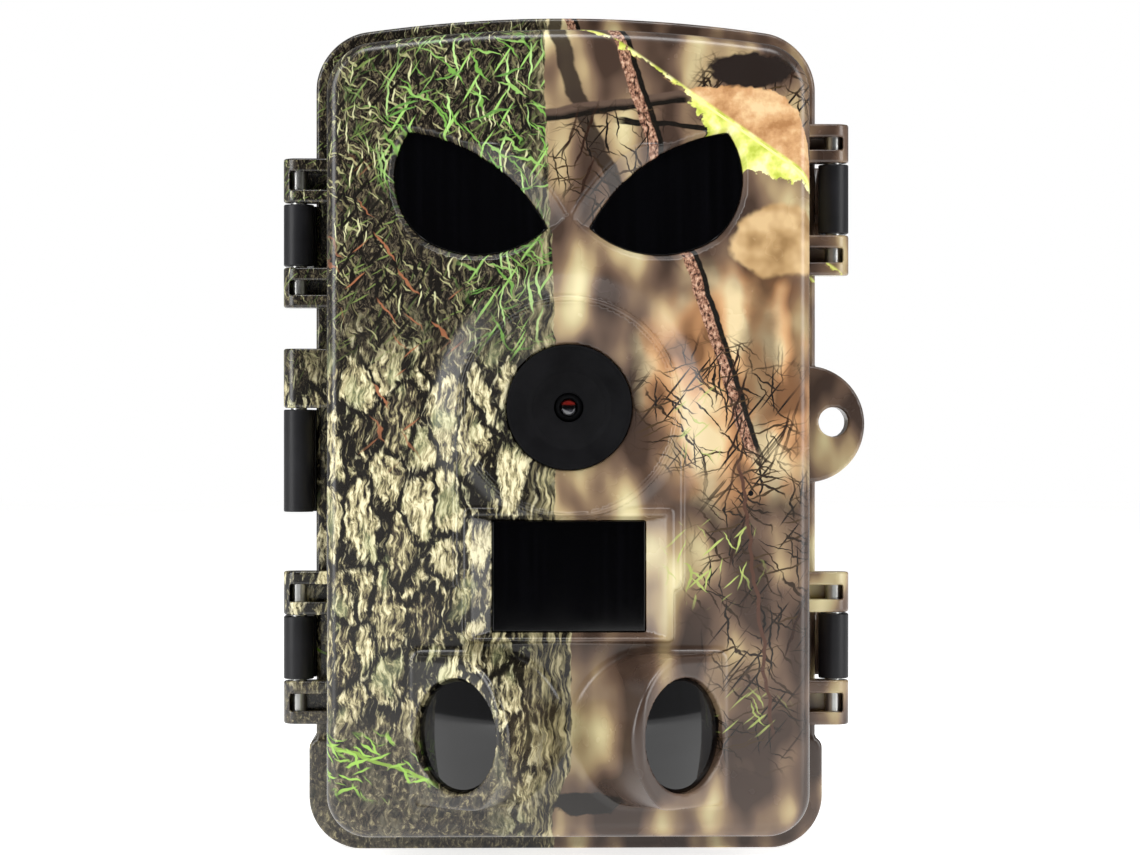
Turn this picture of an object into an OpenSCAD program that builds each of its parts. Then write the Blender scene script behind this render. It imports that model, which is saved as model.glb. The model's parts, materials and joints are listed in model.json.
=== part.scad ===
// Trail camera: a clamshell case. The front cover carries the optics, the display and the keys,
// and swings on three pinned hinge leaves screwed to the rear shell, which holds eight cells.
// Frame: +Z up, the lens looks along -Y, +X is the latch side as seen from the front.
// Origin: mouth of the tripod thread, in the plane of the flat foot.

/* [Case] */
// Height of the rear shell at its middle
case_h = 150; // [148:1:156]
// Half width of the rear shell
shell_hw = 45.1; // [45:0.1:46]
// Half width of the front cover
cover_hw = 42.3; // [42:0.1:42.6]
// Half width of the flared foot
foot_hw = 46.4; // [46:0.1:47]
// Height of the flared foot
foot_h = 20; // [18:1:21]
// Wall thickness of both mouldings
wall = 2.2; // [2:0.1:2.5]
// Radius of the arched top edge
arch_r = 250; // [240:5:300]

/* [Depth] */
// Flat front face of the cover
face_y = -36; // [-37:0.5:-35]
// Plane where the two halves meet
split_y = -14; // [-14.5:0.5:-13.5]
// Back face of the rear shell
back_y = 22; // [21:0.5:24]
// How far the column and the lens dome stand out
column_d = 2.5; // [2:0.5:3]
// Free gap between moving neighbours
gap = 0.3; // [0.2:0.05:0.4]

/* [Optics] */
// Height of the lens axis
lens_z = 79.5; // [78:0.5:80]
// Radius of the black lens bezel
bezel_r = 10.9; // [10:0.1:11.5]
// Radius of the crest of the lens dome
dome_r = 19; // [18:0.5:20]
// Height of the middle of the front sensor window
pir_z = 50; // [49:0.5:51]
// Width of the front sensor window
pir_w = 27; // [25:0.5:28]
// Height of the front sensor window
pir_h = 19.6; // [18:0.2:20]
// Radius of the two side sensor windows
side_r = 10; // [9.5:0.1:10.2]
// Angle that the side sensor windows are turned outward
side_turn = 45; // [45]

/* [Hinge and latches] */
// Distance of the pin axes from the middle
pin_x = 48; // [48:0.1:48.2]
// Radius of the steel pins
pin_r = 1.45; // [1.2:0.05:1.5]
// Radius of ears and barrels round the pins
knuckle_r = 2.7; // [2.6:0.05:2.8]
// Radius of the padlock hole
padlock_r = 2.65; // [2.5:0.05:3]

/* [Power] */
// Radius of one cell
cell_r = 7.25; // [7:0.05:7.25]
// Length of one cell
cell_l = 50.5; // [49:0.5:50.5]
// Radius of the plain bore that stands for the tripod thread
tripod_r = 2.6; // [2.5:0.05:2.6]
// Travel of the keys
key_travel = 0.8; // [0.5:0.1:1]

/* [Hidden] */
$fn = 48;

// Cover outline
cover_low = 4.3;
cover_top = case_h - 4.3;
cover_corner = 7.5;
shell_corner = 9;
cover_back = split_y - gap;
inside_front = face_y + wall;
shell_back_in = back_y - wall - 0.2;

// Pin axes and the heights of the knuckles, from low to high
pin_y = split_y - knuckle_r - 1.3;
bore_slack = 0.02;
run_slack = 0.06;
rib = 2.3;
hinge_upper = [97.4, 104.9, 115.9, 124.1];
hinge_middle = [60.9, 79.2, 79.5, 90.1];
hinge_lower = [23.0, 31.0, 42.2, 50.3];
latch_high = [103.3, 110.8, 123.2, 130.4];
latch_low = [22.7, 31.0, 42.6, 50.1];
catch_y = [-6.2, -3.8];

// Padlock eyelet, split between the two halves
eyelet_c = [43, 76.6];
eyelet_r = 10.5;
eyelet_hole = [47.9, 77];
eyelet_t = 5;

// Almond windows: an upper arc, a lower arc and an outer arc
eye_top_c = [-31.86, 96];
eye_top_r = 31.9;
eye_low_c = [-15.9, 124.4];
eye_low_r = 18.3;
eye_out_c = [-16.4, 119.5];
eye_out_r = 14.1;
window_set = 1.3;
flange_t = 1.2;
flange_w = 1.4;

// Side sensor bosses
boss_in = 0.7;
boss_ridge = 12.4;
boss_out = 27.4;
boss_low = 10.1;
boss_high = 37;
boss_lip = 0.5;
boss_round = 12;
ridge_y = face_y - boss_lip - (boss_out - boss_ridge);
side_set = 1.5;
side_c = [20.1, face_y - boss_lip - (boss_out - 20.1), 22.8];

// Inner frame
frame_front = -17;
frame_back = -15;
display_c = [0, 108];
display_size = [60, 46];
well = [8, 14, 36, 44];
well_floor = -20.4;
board_y = [-22.8, -21.2];
key_z = 62;
key_r = 3.4;
key_pitch = 9;
key_y = [-17.6, -14.2];
menu_x = -24;
switch_x = 24;
switch_travel = 8;
speaker_c = [-30.5, 30];
speaker_r = 7.2;
boss_xz = [[-35, 14], [35, 9.5], [-35, 134], [35, 134]];

// Battery bay
cell_pitch = 15.2;
cell_y = 10.4;
cell_rows = [26, 84];
cell_x = [-1.5, -0.5, 0.5, 1.5] * cell_pitch;
tray_y = [2, 19];
tray_hw = 32.6;
tray_z = [21, 139.5];
block_hw = 8;
tray_screw_xz = [[-30.6, 80.2], [30.6, 80.2]];

// Power socket in the foot
socket_c = [26, 2];
flap_c = [26, 2];

// ---------- helpers ----------

// Raises a drawing of the X-Z plane from depth y0 to depth y1
module along_y(y0, y1) {
    translate([0, y1, 0]) rotate([90, 0, 0]) linear_extrude(y1 - y0) children();
}

// A rod along Y at x, z
module rod_y(x, z, r, y0, y1) {
    translate([x, y1, z]) rotate([90, 0, 0]) cylinder(r = r, h = y1 - y0);
}

// A box given by its two corners
module box(a, b) {
    translate(a) cube(b - a);
}

// Rounded panel with an arched top edge, pulled in by inset on every side
module panel(half_w, low, high, r_low, r_high, inset = 0) {
    hw = half_w - inset;
    zl = low + inset;
    zh = high - inset;
    rl = max(r_low - inset, 1);
    rh = max(r_high - inset, 1);
    ra = arch_r - inset;
    corner_z = zh - ra + sqrt(pow(ra - rh, 2) - pow(hw - rh, 2));
    tangent_x = (hw - rh) * ra / (ra - rh);
    intersection() {
        translate([0, zh - ra]) circle(ra, $fn = 720);
        translate([-tangent_x, corner_z - 1]) square([2 * tangent_x, zh - corner_z + 2]);
    }
    for (s = [-1, 1]) {
        translate([s * (hw - rh), corner_z]) circle(rh);
        translate([s * (hw - rl), zl + rl]) circle(rl);
    }
    translate([-hw, zl + rl]) square([2 * hw, corner_z - zl - rl]);
    translate([rl - hw, zl]) square([2 * (hw - rl), rl + 1]);
}

module cover_panel(inset = 0) {
    panel(cover_hw, cover_low, cover_top, cover_corner, cover_corner, inset);
}

module shell_panel(inset = 0) {
    panel(shell_hw, 0, case_h, shell_corner, shell_corner, inset);
}

// One almond window outline, grown by grow; side is -1 on the left and 1 on the right
module eye(side, grow = 0) {
    mirror([side > 0 ? 1 : 0, 0]) intersection() {
        translate(eye_top_c) circle(eye_top_r + grow, $fn = 96);
        translate(eye_low_c) circle(eye_low_r + grow, $fn = 96);
        union() {
            translate(eye_out_c) circle(eye_out_r + grow, $fn = 96);
            translate(eye_out_c - [0, 30]) square([30, 60]);
        }
    }
}

// Places a child, drawn round +Z, on the turned facet of a side boss
module on_facet(side) {
    mirror([side < 0 ? 1 : 0, 0, 0]) translate(side_c) rotate([0, 0, side_turn]) rotate([90, 0, 0])
        children();
}

// Ear or barrel profile in the X-Y plane for the right side: round end and a neck to neck_x
module knuckle_2d(neck_x) {
    translate([pin_x, pin_y]) circle(knuckle_r);
    translate([neck_x, pin_y - knuckle_r]) square([pin_x - neck_x, 2 * knuckle_r]);
}

// Solid ear on the cover from z0 to z1
module ear(z0, z1) {
    translate([0, 0, z0]) linear_extrude(z1 - z0) knuckle_2d(cover_hw - 0.8);
}

// Pocket that opens forward and shows the pin
module ear_pocket(z0, z1) {
    box([cover_hw + 0.3, pin_y - 4, z0], [pin_x + knuckle_r - 1.2, pin_y + 1.8, z1]);
}

// Two ears round a barrel, with their pockets
module ear_pair(h) {
    difference() {
        union() {
            ear(h[0], h[1] - gap);
            ear(h[2] + gap, h[3]);
        }
        ear_pocket(h[0] + rib, h[1] - gap - rib);
        ear_pocket(h[2] + gap + rib, h[3] - rib);
    }
}

module pin_bore(z0, z1, r) {
    translate([pin_x, pin_y, z0]) cylinder(r = r, h = z1 - z0);
}

// A pan head screw along +Y at x, z with its head's back at y
module screw(x, z, y, shank) {
    difference() {
        union() {
            rod_y(x, z, 2, y - 1.3, y);
            rod_y(x, z, 0.9, y - shank, y - 1);
        }
        for (a = [0, 90])
            translate([x, y, z]) rotate([0, a, 0]) cube([2.4, 1.2, 0.6], center = true);
    }
}

// ---------- rear half ----------

// Two loops on the back for a 25 mm strap, each two posts and a bar
module strap_loops() {
    color("black") for (x = [-35, 27]) {
        for (z = [55, 88]) box([x, back_y, z], [x + 8, back_y + 8, z + 5]);
        box([x, back_y + 5.2, 55], [x + 8, back_y + 8, 93]);
    }
}

// Four toothed strips that bite a tree trunk
module tree_grips() {
    teeth = 6;
    pitch = 4;
    base = 1.6;
    tip = 5;
    rise = [for (i = [0 : 2 * teeth]) [i % 2 == 0 ? base : tip, i * pitch / 2]];
    color("black") for (x = [-17, 11], z = [16, 106]) translate([x, back_y, z]) rotate([90, 0, 90])
        linear_extrude(6) polygon(concat([[0, 0]], rise, [[0, teeth * pitch]]));
}

module foot_2d() {
    r = 9.5;
    t = 2;
    for (s = [-1, 1]) {
        translate([s * (foot_hw - r), r]) circle(r);
        translate([s * (foot_hw - t), foot_h - t]) circle(t);
    }
    translate([-foot_hw, r]) square([2 * foot_hw, foot_h - t - r]);
    translate([r - foot_hw, 0]) square([2 * (foot_hw - r), r + 1]);
    translate([t - foot_hw, foot_h - t - 1]) square([2 * (foot_hw - t), t + 1]);
}

// Ridge that a latch hook holds
module latch_ridge(h) {
    box([shell_hw - 1, catch_y[0], h[1] + 1], [shell_hw + 1.8, catch_y[1], h[2] - 1]);
}

module rear_shell() {
    flange = 6;
    color("darkolivegreen") difference() {
        union() {
            along_y(split_y, back_y - 3) shell_panel();
            hull() {
                along_y(back_y - 3, back_y - 2.9) shell_panel($fn = 32);
                along_y(back_y - 0.1, back_y) shell_panel(3, $fn = 32);
            }
            along_y(split_y, back_y - 3) foot_2d();
            for (h = [latch_high, latch_low]) latch_ridge(h);
            intersection() {
                along_y(split_y, split_y + eyelet_t) translate(eyelet_c) circle(eyelet_r, $fn = 96);
                box([shell_hw - 1, split_y, 60], [shell_hw + 20, 0, 95]);
            }
        }
        difference() {
            along_y(split_y + 4, shell_back_in) shell_panel(wall);
            // floor block for the power socket
            box([16, -9.9, 0], [36, 14, 12]);
            // bosses for the leaf screws, and posts under the tray
            for (z = leaf_screw_z) translate([-shell_hw, leaf_screw_y, z]) rotate([0, 90, 0])
                cylinder(r = 3, h = 8);
            for (p = tray_screw_xz) rod_y(p[0], p[1], 2.6, tray_y[1] + 0.01, back_y);
        }
        along_y(split_y - 1, split_y + 5) shell_panel(flange);
        // groove for the gasket
        difference() {
            along_y(split_y - 1, split_y + 1.8) shell_panel(3);
            along_y(split_y - 2, split_y + 3) shell_panel(4.8);
        }
        // a little wider than the front lug's hole, so that a shackle finds its way through both
        rod_y(eyelet_hole[0], eyelet_hole[1], padlock_r + 0.25, split_y - 1, split_y + eyelet_t + 1);
        // square opening that the tripod block drops into
        box([-block_hw - 0.1, -block_hw - 0.1, -1], [block_hw + 0.1, block_hw + 0.1, wall + 1]);
        translate([socket_c[0], socket_c[1], -1]) cylinder(r = 4, h = 20);
        // recess for the port cover
        box([flap_c[0] - 7.3, flap_c[1] - 6.3, -1], [flap_c[0] + 7.3, flap_c[1] + 6.3, 2.2]);
        for (z = leaf_screw_z) translate([-shell_hw - 1, leaf_screw_y, z]) rotate([0, 90, 0])
            cylinder(r = 0.95, h = 8);
        for (p = tray_screw_xz) rod_y(p[0], p[1], 0.95, tray_y[1] - 1, tray_y[1] + 1.2);
    }
}

module gasket() {
    color("dimgray") difference() {
        along_y(split_y, split_y + 1.8) shell_panel(3.05);
        along_y(split_y - 1, split_y + 3) shell_panel(4.75);
    }
}

module battery_tray() {
    slack = 0.25;
    color("black") difference() {
        box([-tray_hw, tray_y[0], tray_z[0]], [tray_hw, tray_y[1], tray_z[1]]);
        // channels, each with room for a spring and a plate at its ends
        for (x = cell_x, z = cell_rows) {
            translate([x, cell_y, z - 3]) cylinder(r = cell_r + slack, h = cell_l + 6);
            box([x - cell_r - slack, tray_y[0] - 1, z - 3], [x + cell_r + slack, cell_y, z + cell_l + 3]);
        }
        for (p = tray_screw_xz) rod_y(p[0], p[1], 1, tray_y[0] - 1, tray_y[1] + 1);
        // seats that let the tray screws' heads sink in
        for (p = tray_screw_xz) rod_y(p[0], p[1], 2.2, tray_y[0] - 1, tray_y[0] + 1.6);
    }
}

// Cell with its nub up when up is 1 and down when up is -1
module cell(up) {
    nub = 1.2;
    rotate([up > 0 ? 0 : 180, 0, 0]) translate([0, 0, -cell_l / 2]) {
        cylinder(r = cell_r, h = cell_l - nub);
        cylinder(r = 2.7, h = cell_l);
    }
}

module cells() {
    color("steelblue") for (i = [0 : 3], z = cell_rows)
        translate([cell_x[i], cell_y, z + cell_l / 2]) cell(i % 2 == 0 ? 1 : -1);
}

// Cone spring at each cell's flat end, drawn as stacked rings
module contact_springs() {
    rings = 4;
    color("silver") for (i = [0 : 3], z = cell_rows)
        translate([cell_x[i], cell_y, z + cell_l / 2]) rotate([i % 2 == 0 ? 0 : 180, 0, 0])
            for (k = [0 : rings - 1]) translate([0, 0, -cell_l / 2 - 0.35 - 0.62 * k])
                rotate_extrude() translate([2.6 + 0.7 * k, 0]) circle(0.32, $fn = 16);
}

module contact_plates() {
    color("gainsboro") for (x = cell_x, z = cell_rows, e = [-2.9, cell_l + 2.6])
        box([x - 5, cell_y - 5, z + e], [x + 5, cell_y + 5, z + e + 0.3]);
}

module tray_screws() {
    color("silver") for (p = tray_screw_xz) mirror([0, 1, 0])
        screw(p[0], p[1], -tray_y[0] - 0.3, tray_y[1] - tray_y[0] + 0.8);
}

// Block welded into the floor, with a collar that rests on it, round the tripod insert
module tripod_block() {
    color("darkolivegreen") difference() {
        union() {
            box([-block_hw, -block_hw, 0], [block_hw, block_hw, 6]);
            box([-block_hw - 2, -block_hw - 1.5, wall], [block_hw + 2, block_hw + 2, 12]);
        }
        translate([0, 0, -1]) cylinder(r = 4.5, h = 9.01);
    }
}

module tripod_insert() {
    color("goldenrod") difference() {
        cylinder(r = 4.45, h = 8);
        translate([0, 0, -1]) cylinder(r = tripod_r, h = 10);
    }
}

module power_socket() {
    color("black") translate([socket_c[0], socket_c[1], 2.6]) difference() {
        cylinder(r = 3.9, h = 10);
        translate([0, 0, -1]) cylinder(r = 2.9, h = 9);
    }
    color("silver") translate([socket_c[0], socket_c[1], 4]) cylinder(r = 0.9, h = 7.1);
}

// Rubber flap that closes the power socket, flush with the foot
module port_cover() {
    color("dimgray") difference() {
        union() {
            box([flap_c[0] - 7, flap_c[1] - 4.4, 0.4], [flap_c[0] + 7, flap_c[1] + 6, 1.8]);
            translate([flap_c[0] - 7, flap_c[1] - 4.4, 1.1]) rotate([0, 90, 0]) cylinder(r = 0.7, h = 14);
            translate([flap_c[0], flap_c[1], 1.2]) cylinder(r = 2.2, h = 1.3);
        }
        box([flap_c[0] - 3, flap_c[1] + 5, 0], [flap_c[0] + 3, flap_c[1] + 7, 0.9]);
    }
}

// ---------- hinge leaves ----------

leaf_screw_y = -5;
leaf_screw_z = [110.4, 75, 65, 36.6];

// Barrel round the pin and a plate along the side of the shell; h is [low, high]
module hinge_leaf(h) {
    plate_x = pin_x + 0.3;
    color("black") mirror([1, 0, 0]) difference() {
        translate([0, 0, h[0]]) linear_extrude(h[1] - h[0]) {
            translate([pin_x, pin_y]) circle(knuckle_r);
            translate([shell_hw + gap, pin_y]) square([plate_x + 2.4 - shell_hw - gap, split_y - pin_y + 1]);
            translate([shell_hw, split_y + 0.4]) square([2.6, 14]);
        }
        pin_bore(h[0] - 1, h[1] + 1, pin_r + run_slack);
        for (z = leaf_screw_z) translate([shell_hw - 1, leaf_screw_y, z]) rotate([0, 90, 0]) {
            cylinder(r = 1.05, h = 6);
            translate([0, 0, 2.2]) cylinder(r = 2.1, h = 6);
        }
    }
}

module hinge_leaf_upper() { hinge_leaf([hinge_upper[1], hinge_upper[2]]); }
module hinge_leaf_middle() { hinge_leaf([hinge_middle[0], hinge_middle[1]]); }
module hinge_leaf_lower() { hinge_leaf([hinge_lower[1], hinge_lower[2]]); }

module leaf_screws() {
    color("silver") for (z = leaf_screw_z) translate([-shell_hw - 1.25, leaf_screw_y, z]) rotate([0, 90, 0])
        difference() {
            union() {
                translate([0, 0, -1.2]) cylinder(r = 2, h = 1.2);
                cylinder(r = 0.9, h = 6.5);
            }
            for (a = [0, 90]) rotate([0, 0, a]) translate([0, 0, -1.2]) cube([2.4, 0.6, 1.2], center = true);
        }
}

// ---------- front half ----------

// Wedge of one side boss, thinned by inset, for the right side
module boss_wedge(inset) {
    profile = [[boss_in + 1.6 * inset, face_y + 2], [boss_ridge + 0.2 * inset, ridge_y + 1.42 * inset],
        [boss_out - inset, face_y - boss_lip + 0.42 * inset], [boss_out - inset, face_y + 2]];
    intersection() {
        translate([0, 0, boss_low + inset]) linear_extrude(boss_high - boss_low - 2 * inset)
            polygon(profile);
        along_y(face_y - 30, face_y + 10) union() {
            translate([boss_in + boss_round, boss_high - boss_round]) circle(boss_round);
            translate([boss_in, 0]) square([40, boss_high - boss_round]);
            translate([boss_in + boss_round, 0]) square([40, boss_high]);
        }
    }
}

// Lens dome, centre column and the frame round the front sensor window
module column() {
    y1 = face_y + 1;
    front = face_y - column_d;
    translate([0, face_y, lens_z]) rotate([90, 0, 0]) cylinder(r1 = dome_r + 4, r2 = dome_r, h = column_d);
    along_y(front, y1) union() {
        translate([-dome_r - 0.9, 47.5]) square([2 * dome_r + 1.8, lens_z - 47.5]);
        translate([-18.2, 38.6]) square([36.4, 20]);
    }
}

// Sloping recess in front of the front sensor window
module pir_recess() {
    front = face_y - column_d - 0.1;
    hull() {
        box([-17.1, front - 1, pir_z - 10.6], [17.1, front, pir_z + 10.6]);
        box([-pir_w / 2, face_y, pir_z - pir_h / 2], [pir_w / 2, face_y + 0.1, pir_z + pir_h / 2]);
    }
}

module front_cover() {
    color("olive") difference() {
        union() {
            along_y(face_y + 1.5, cover_back) cover_panel();
            hull() {
                along_y(face_y + 1.4, face_y + 1.5) cover_panel($fn = 32);
                along_y(face_y, face_y + 0.1) cover_panel(1.5, $fn = 32);
            }
            column();
            for (s = [0, 1]) mirror([s, 0, 0]) boss_wedge(0);
            for (h = [latch_high, latch_low]) ear_pair(h);
            for (h = [hinge_upper, hinge_lower]) mirror([1, 0, 0]) ear_pair(h);
            mirror([1, 0, 0]) ear(hinge_middle[2], hinge_middle[3]);
            intersection() {
                along_y(cover_back - eyelet_t, cover_back) translate(eyelet_c)
                    circle(eyelet_r, $fn = 96);
                box([cover_hw - 1, cover_back - eyelet_t, 60], [shell_hw + 20, cover_back, 95]);
            }
        }
        // hollow inside, with the bosses for the frame screws left standing
        difference() {
            along_y(inside_front, cover_back + 1) cover_panel(wall);
            for (p = boss_xz) rod_y(p[0], p[1], 2.8, inside_front - 1, frame_front);
        }
        for (p = boss_xz) rod_y(p[0], p[1], 0.95, frame_front - 8, frame_front + 1);
        for (s = [0, 1]) mirror([s, 0, 0]) boss_wedge(2.4);
        // lens opening with a seat for the bezel
        rod_y(0, lens_z, bezel_r + 0.05, face_y - 6, face_y - column_d + 3.4);
        rod_y(0, lens_z, bezel_r - 2, face_y - 6, inside_front + 1);
        pir_recess();
        box([-pir_w / 2, face_y - 1, pir_z - pir_h / 2], [pir_w / 2, inside_front + 1, pir_z + pir_h / 2]);
        for (s = [-1, 1]) {
            along_y(face_y - 1, inside_front + 1) eye(s);
            on_facet(s) translate([0, 0, -side_set - 2]) cylinder(r = side_r, h = 12);
        }
        for (h = [latch_high, latch_low]) pin_bore(h[0] + 0.8, h[3] - 0.8, pin_r + bore_slack);
        for (h = [hinge_upper, hinge_lower]) mirror([1, 0, 0])
            pin_bore(h[0] + 0.8, h[3] - 0.8, pin_r + bore_slack);
        mirror([1, 0, 0]) pin_bore(hinge_middle[1] - 1, hinge_middle[3] - 0.8, pin_r + bore_slack);
        rod_y(eyelet_hole[0], eyelet_hole[1], padlock_r, cover_back - eyelet_t - 1, cover_back + 1);
        rod_y(31.8, 64.5, 0.45, face_y - 1, inside_front + 1);
    }
}

// Pins stand in the cover's ears
module pin(side, z0, z1) {
    color("silver") mirror([side < 0 ? 1 : 0, 0, 0]) pin_bore(z0, z1, pin_r);
}

module hinge_pin_upper() { pin(-1, hinge_upper[0] + 0.9, hinge_upper[3] - 0.9); }
module hinge_pin_middle() { pin(-1, hinge_middle[0] + 0.5, hinge_middle[3] - 0.9); }
module hinge_pin_lower() { pin(-1, hinge_lower[0] + 0.9, hinge_lower[3] - 0.9); }
module latch_pin_upper() { pin(1, latch_high[0] + 0.9, latch_high[3] - 0.9); }
module latch_pin_lower() { pin(1, latch_low[0] + 0.9, latch_low[3] - 0.9); }

// Lever: barrel, arm along the side, hook behind the ridge and a finger tab
module latch(h) {
    arm_in = shell_hw + 1.8 + gap;
    hook_y = catch_y[1] + gap;
    color("black") difference() {
        translate([0, 0, h[1]]) linear_extrude(h[2] - h[1]) {
            translate([pin_x, pin_y]) circle(knuckle_r);
            translate([arm_in, pin_y]) square([pin_x + knuckle_r - arm_in, 6]);
            translate([arm_in, pin_y + 5]) square([2.2, hook_y - pin_y - 3]);
            translate([shell_hw + gap, hook_y]) square([arm_in + 2.2 - shell_hw - gap, 2.2]);
            polygon([[arm_in + 0.4, hook_y + 2], [arm_in + 2.2, hook_y], [arm_in + 4.6, hook_y + 6.4],
                [arm_in + 3, hook_y + 7]]);
        }
        pin_bore(h[1] - 1, h[2] + 1, pin_r + run_slack);
    }
}

module latch_upper() { latch(latch_high); }
module latch_lower() { latch(latch_low); }

module lens_bezel() {
    y0 = face_y - column_d - 0.4;
    color("black") translate([0, y0, lens_z]) rotate([-90, 0, 0]) difference() {
        union() {
            cylinder(r = bezel_r, h = 3.7);
            cylinder(r = bezel_r - 2.1, h = 6);
        }
        translate([0, 0, -0.01]) cylinder(r1 = bezel_r - 0.6, r2 = 6.4, h = 1.6);
        translate([0, 0, 1.5]) cylinder(r1 = 6.1, r2 = 2.6, h = 2.2);
        translate([0, 0, 2]) cylinder(r = 2.55, h = 6);
        translate([0, 0, 5]) cylinder(r = 5.3, h = 6);
    }
}

module lens_barrel() {
    color("black") translate([0, -33.8, lens_z]) rotate([-90, 0, 0]) difference() {
        union() {
            cylinder(r = 2.4, h = 2);
            translate([0, 0, 0.2]) cylinder(r = 5.1, h = 5.4);
        }
        translate([0, 0, -1]) cylinder(r = 1.6, h = 8);
    }
}

module lens_element() {
    color("lightblue") translate([0, -34, lens_z]) rotate([-90, 0, 0]) rotate_extrude()
        intersection() {
            translate([0, 2.3]) circle(2.5);
            square([1.55, 5]);
        }
}

module ir_cut_filter() {
    color("lightblue") difference() {
        box([-5.6, -27.8, lens_z - 3], [8.8, -27, lens_z + 3]);
        box([1.9, -28, lens_z - 1.8], [5.6, -26, lens_z + 1.8]);
    }
}

module sensor_board() {
    color("darkgreen") box([-13, -25.8, lens_z - 9], [13, -24.6, lens_z + 9]);
    color("dimgray") box([-3, -26.5, lens_z - 2.5], [3, -25.8, lens_z + 2.5]);
}

module ir_window(side) {
    color("black") {
        along_y(face_y + window_set, inside_front) eye(side, -0.1);
        along_y(inside_front, inside_front + flange_t) eye(side, flange_w);
    }
}

module ir_window_left() { ir_window(-1); }
module ir_window_right() { ir_window(1); }

led_pitch = 4.4;
led_front = inside_front + flange_t + 0.3;
ir_board_y = [led_front + 2.2, led_front + 3.6];

module ir_board(side) {
    color("darkgreen") along_y(ir_board_y[0], ir_board_y[1]) eye(side, 0.6);
}

module ir_board_left() { ir_board(-1); }
module ir_board_right() { ir_board(1); }

function in_eye(p, margin) =
    norm(p - eye_top_c) < eye_top_r - margin && norm(p - eye_low_c) < eye_low_r - margin
    && (p[0] > eye_out_c[0] || norm(p - eye_out_c) < eye_out_r - margin);

// Emitters on a square grid, wherever one fits inside the window
module ir_leds(side) {
    color("white") mirror([side > 0 ? 1 : 0, 0, 0])
        for (i = [0 : 6], k = [0 : 5]) {
            p = [-30 + i * led_pitch, 107 + k * led_pitch];
            if (in_eye(p, 2)) rod_y(p[0], p[1], 1.5, led_front, ir_board_y[0]);
        }
}

module ir_leds_left() { ir_leds(-1); }
module ir_leds_right() { ir_leds(1); }

module pir_window() {
    slack = 0.15;
    w = pir_w / 2;
    h = pir_h / 2;
    color("black") {
        box([slack - w, face_y + 0.3, pir_z - h + slack], [w - slack, inside_front, pir_z + h - slack]);
        box([-w - 1.2, inside_front, pir_z - h - 1.2], [w + 1.2, inside_front + 1, pir_z + h + 1.2]);
    }
}

module side_pir_window(side) {
    color("black") on_facet(side) translate([0, 0, -side_set - 1.4]) cylinder(r = side_r - 0.05, h = 1.4);
}

module side_pir_window_left() { side_pir_window(-1); }
module side_pir_window_right() { side_pir_window(1); }

// Metal can with a square eye, drawn round +Z looking up
module pir_can() {
    difference() {
        union() {
            cylinder(r = 4.1, h = 4);
            cylinder(r = 4.6, h = 0.6);
        }
        translate([-2, -1.5, 3.6]) cube([4, 3, 1]);
    }
}

module pir_sensors() {
    color("silver") {
        translate([0, -25.2, pir_z]) rotate([90, 0, 0]) pir_can();
        for (s = [-1, 1]) on_facet(s) translate([-1.2, 0, -side_set - 6.6]) pir_can();
    }
}

module microphone() {
    color("silver") rod_y(31.8, 64.5, 2, inside_front + 0.2, inside_front + 2.4);
}

module speaker() {
    color("dimgray") difference() {
        rod_y(speaker_c[0], speaker_c[1], speaker_r, -21, -17.3);
        rod_y(speaker_c[0], speaker_c[1], speaker_r - 1.6, -18.2, -17);
    }
}

module inner_frame() {
    cutter = 3;
    color("darkslategray") difference() {
        union() {
            along_y(frame_front, frame_back) cover_panel(wall + 0.2);
            box([well[0] - 1.2, well_floor - 0.6, well[1] - 1.2], [well[2] + 1.2, frame_front + 0.5, well[3] + 1.2]);
        }
        box([well[0], well_floor, well[1]], [well[2], 0, well[3]]);
        // slot for the card, and the mouth of the USB socket
        box([well[0] - cutter, -19.9, 16.7], [well[0] + 1, -17.3, 41.3]);
        box([18.4, -20, well[1] - cutter], [28.4, frame_front, well[1] + 1]);
        translate([display_c[0] - display_size[0] / 2, frame_front - 1, display_c[1] - display_size[1] / 2])
            cube([display_size[0], cutter + 1, display_size[1]]);
        for (p = key_centres) rod_y(p[0], p[1], key_r + gap, frame_front - 1, frame_back + 1);
        box([switch_x - 2.9, frame_front - 1, key_z - 7.5], [switch_x + 2.9, 0, key_z + 7.5]);
        // sound slots over the speaker
        for (i = [-2 : 2]) box([speaker_c[0] - 5.4, frame_front - 1, speaker_c[1] + 2.6 * i - 0.6],
            [speaker_c[0] + 5.4, 0, speaker_c[1] + 2.6 * i + 0.6]);
        for (p = boss_xz) rod_y(p[0], p[1], 1.05, frame_front - 1, frame_back + 1);
        for (p = boss_xz) rod_y(p[0], p[1], 2.15, frame_back - 1, frame_back + 1);
    }
}

module frame_screws() {
    color("silver") for (p = boss_xz) screw(p[0], p[1], frame_back + 0.3, 8);
}

module main_board() {
    color("darkgreen") {
        box([-31.8, board_y[0], 46.5], [31.8, board_y[1], 131]);
        box([-31.8, board_y[0], 12], [6, board_y[1], 46.6]);
    }
}

module display_module() {
    color("dimgray") box([-31, -20.6, 83.5], [31, -17.1, 132.5]);
}

module display_window() {
    slack = 0.15;
    w = display_size / 2 - [slack, slack];
    color("black")
        box([display_c[0] - w[0], -17, display_c[1] - w[1]], [display_c[0] + w[0], -15.3, display_c[1] + w[1]]);
}

module card_socket() {
    color("silver") difference() {
        box([-22, board_y[1], 15.4], [6.4, -17.1, 42.6]);
        box([-21, -19.8, 16.6], [10, -17.4, 41.4]);
    }
}

module memory_card() {
    color("navy") difference() {
        box([-19.5, -19.6, 17], [12.5, -17.6, 41]);
        // clipped corner
        translate([-19.5, -21, 41]) rotate([0, 45, 0]) translate([-2.8, 0, -2.8]) cube([5.6, 5, 5.6]);
    }
}

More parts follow.
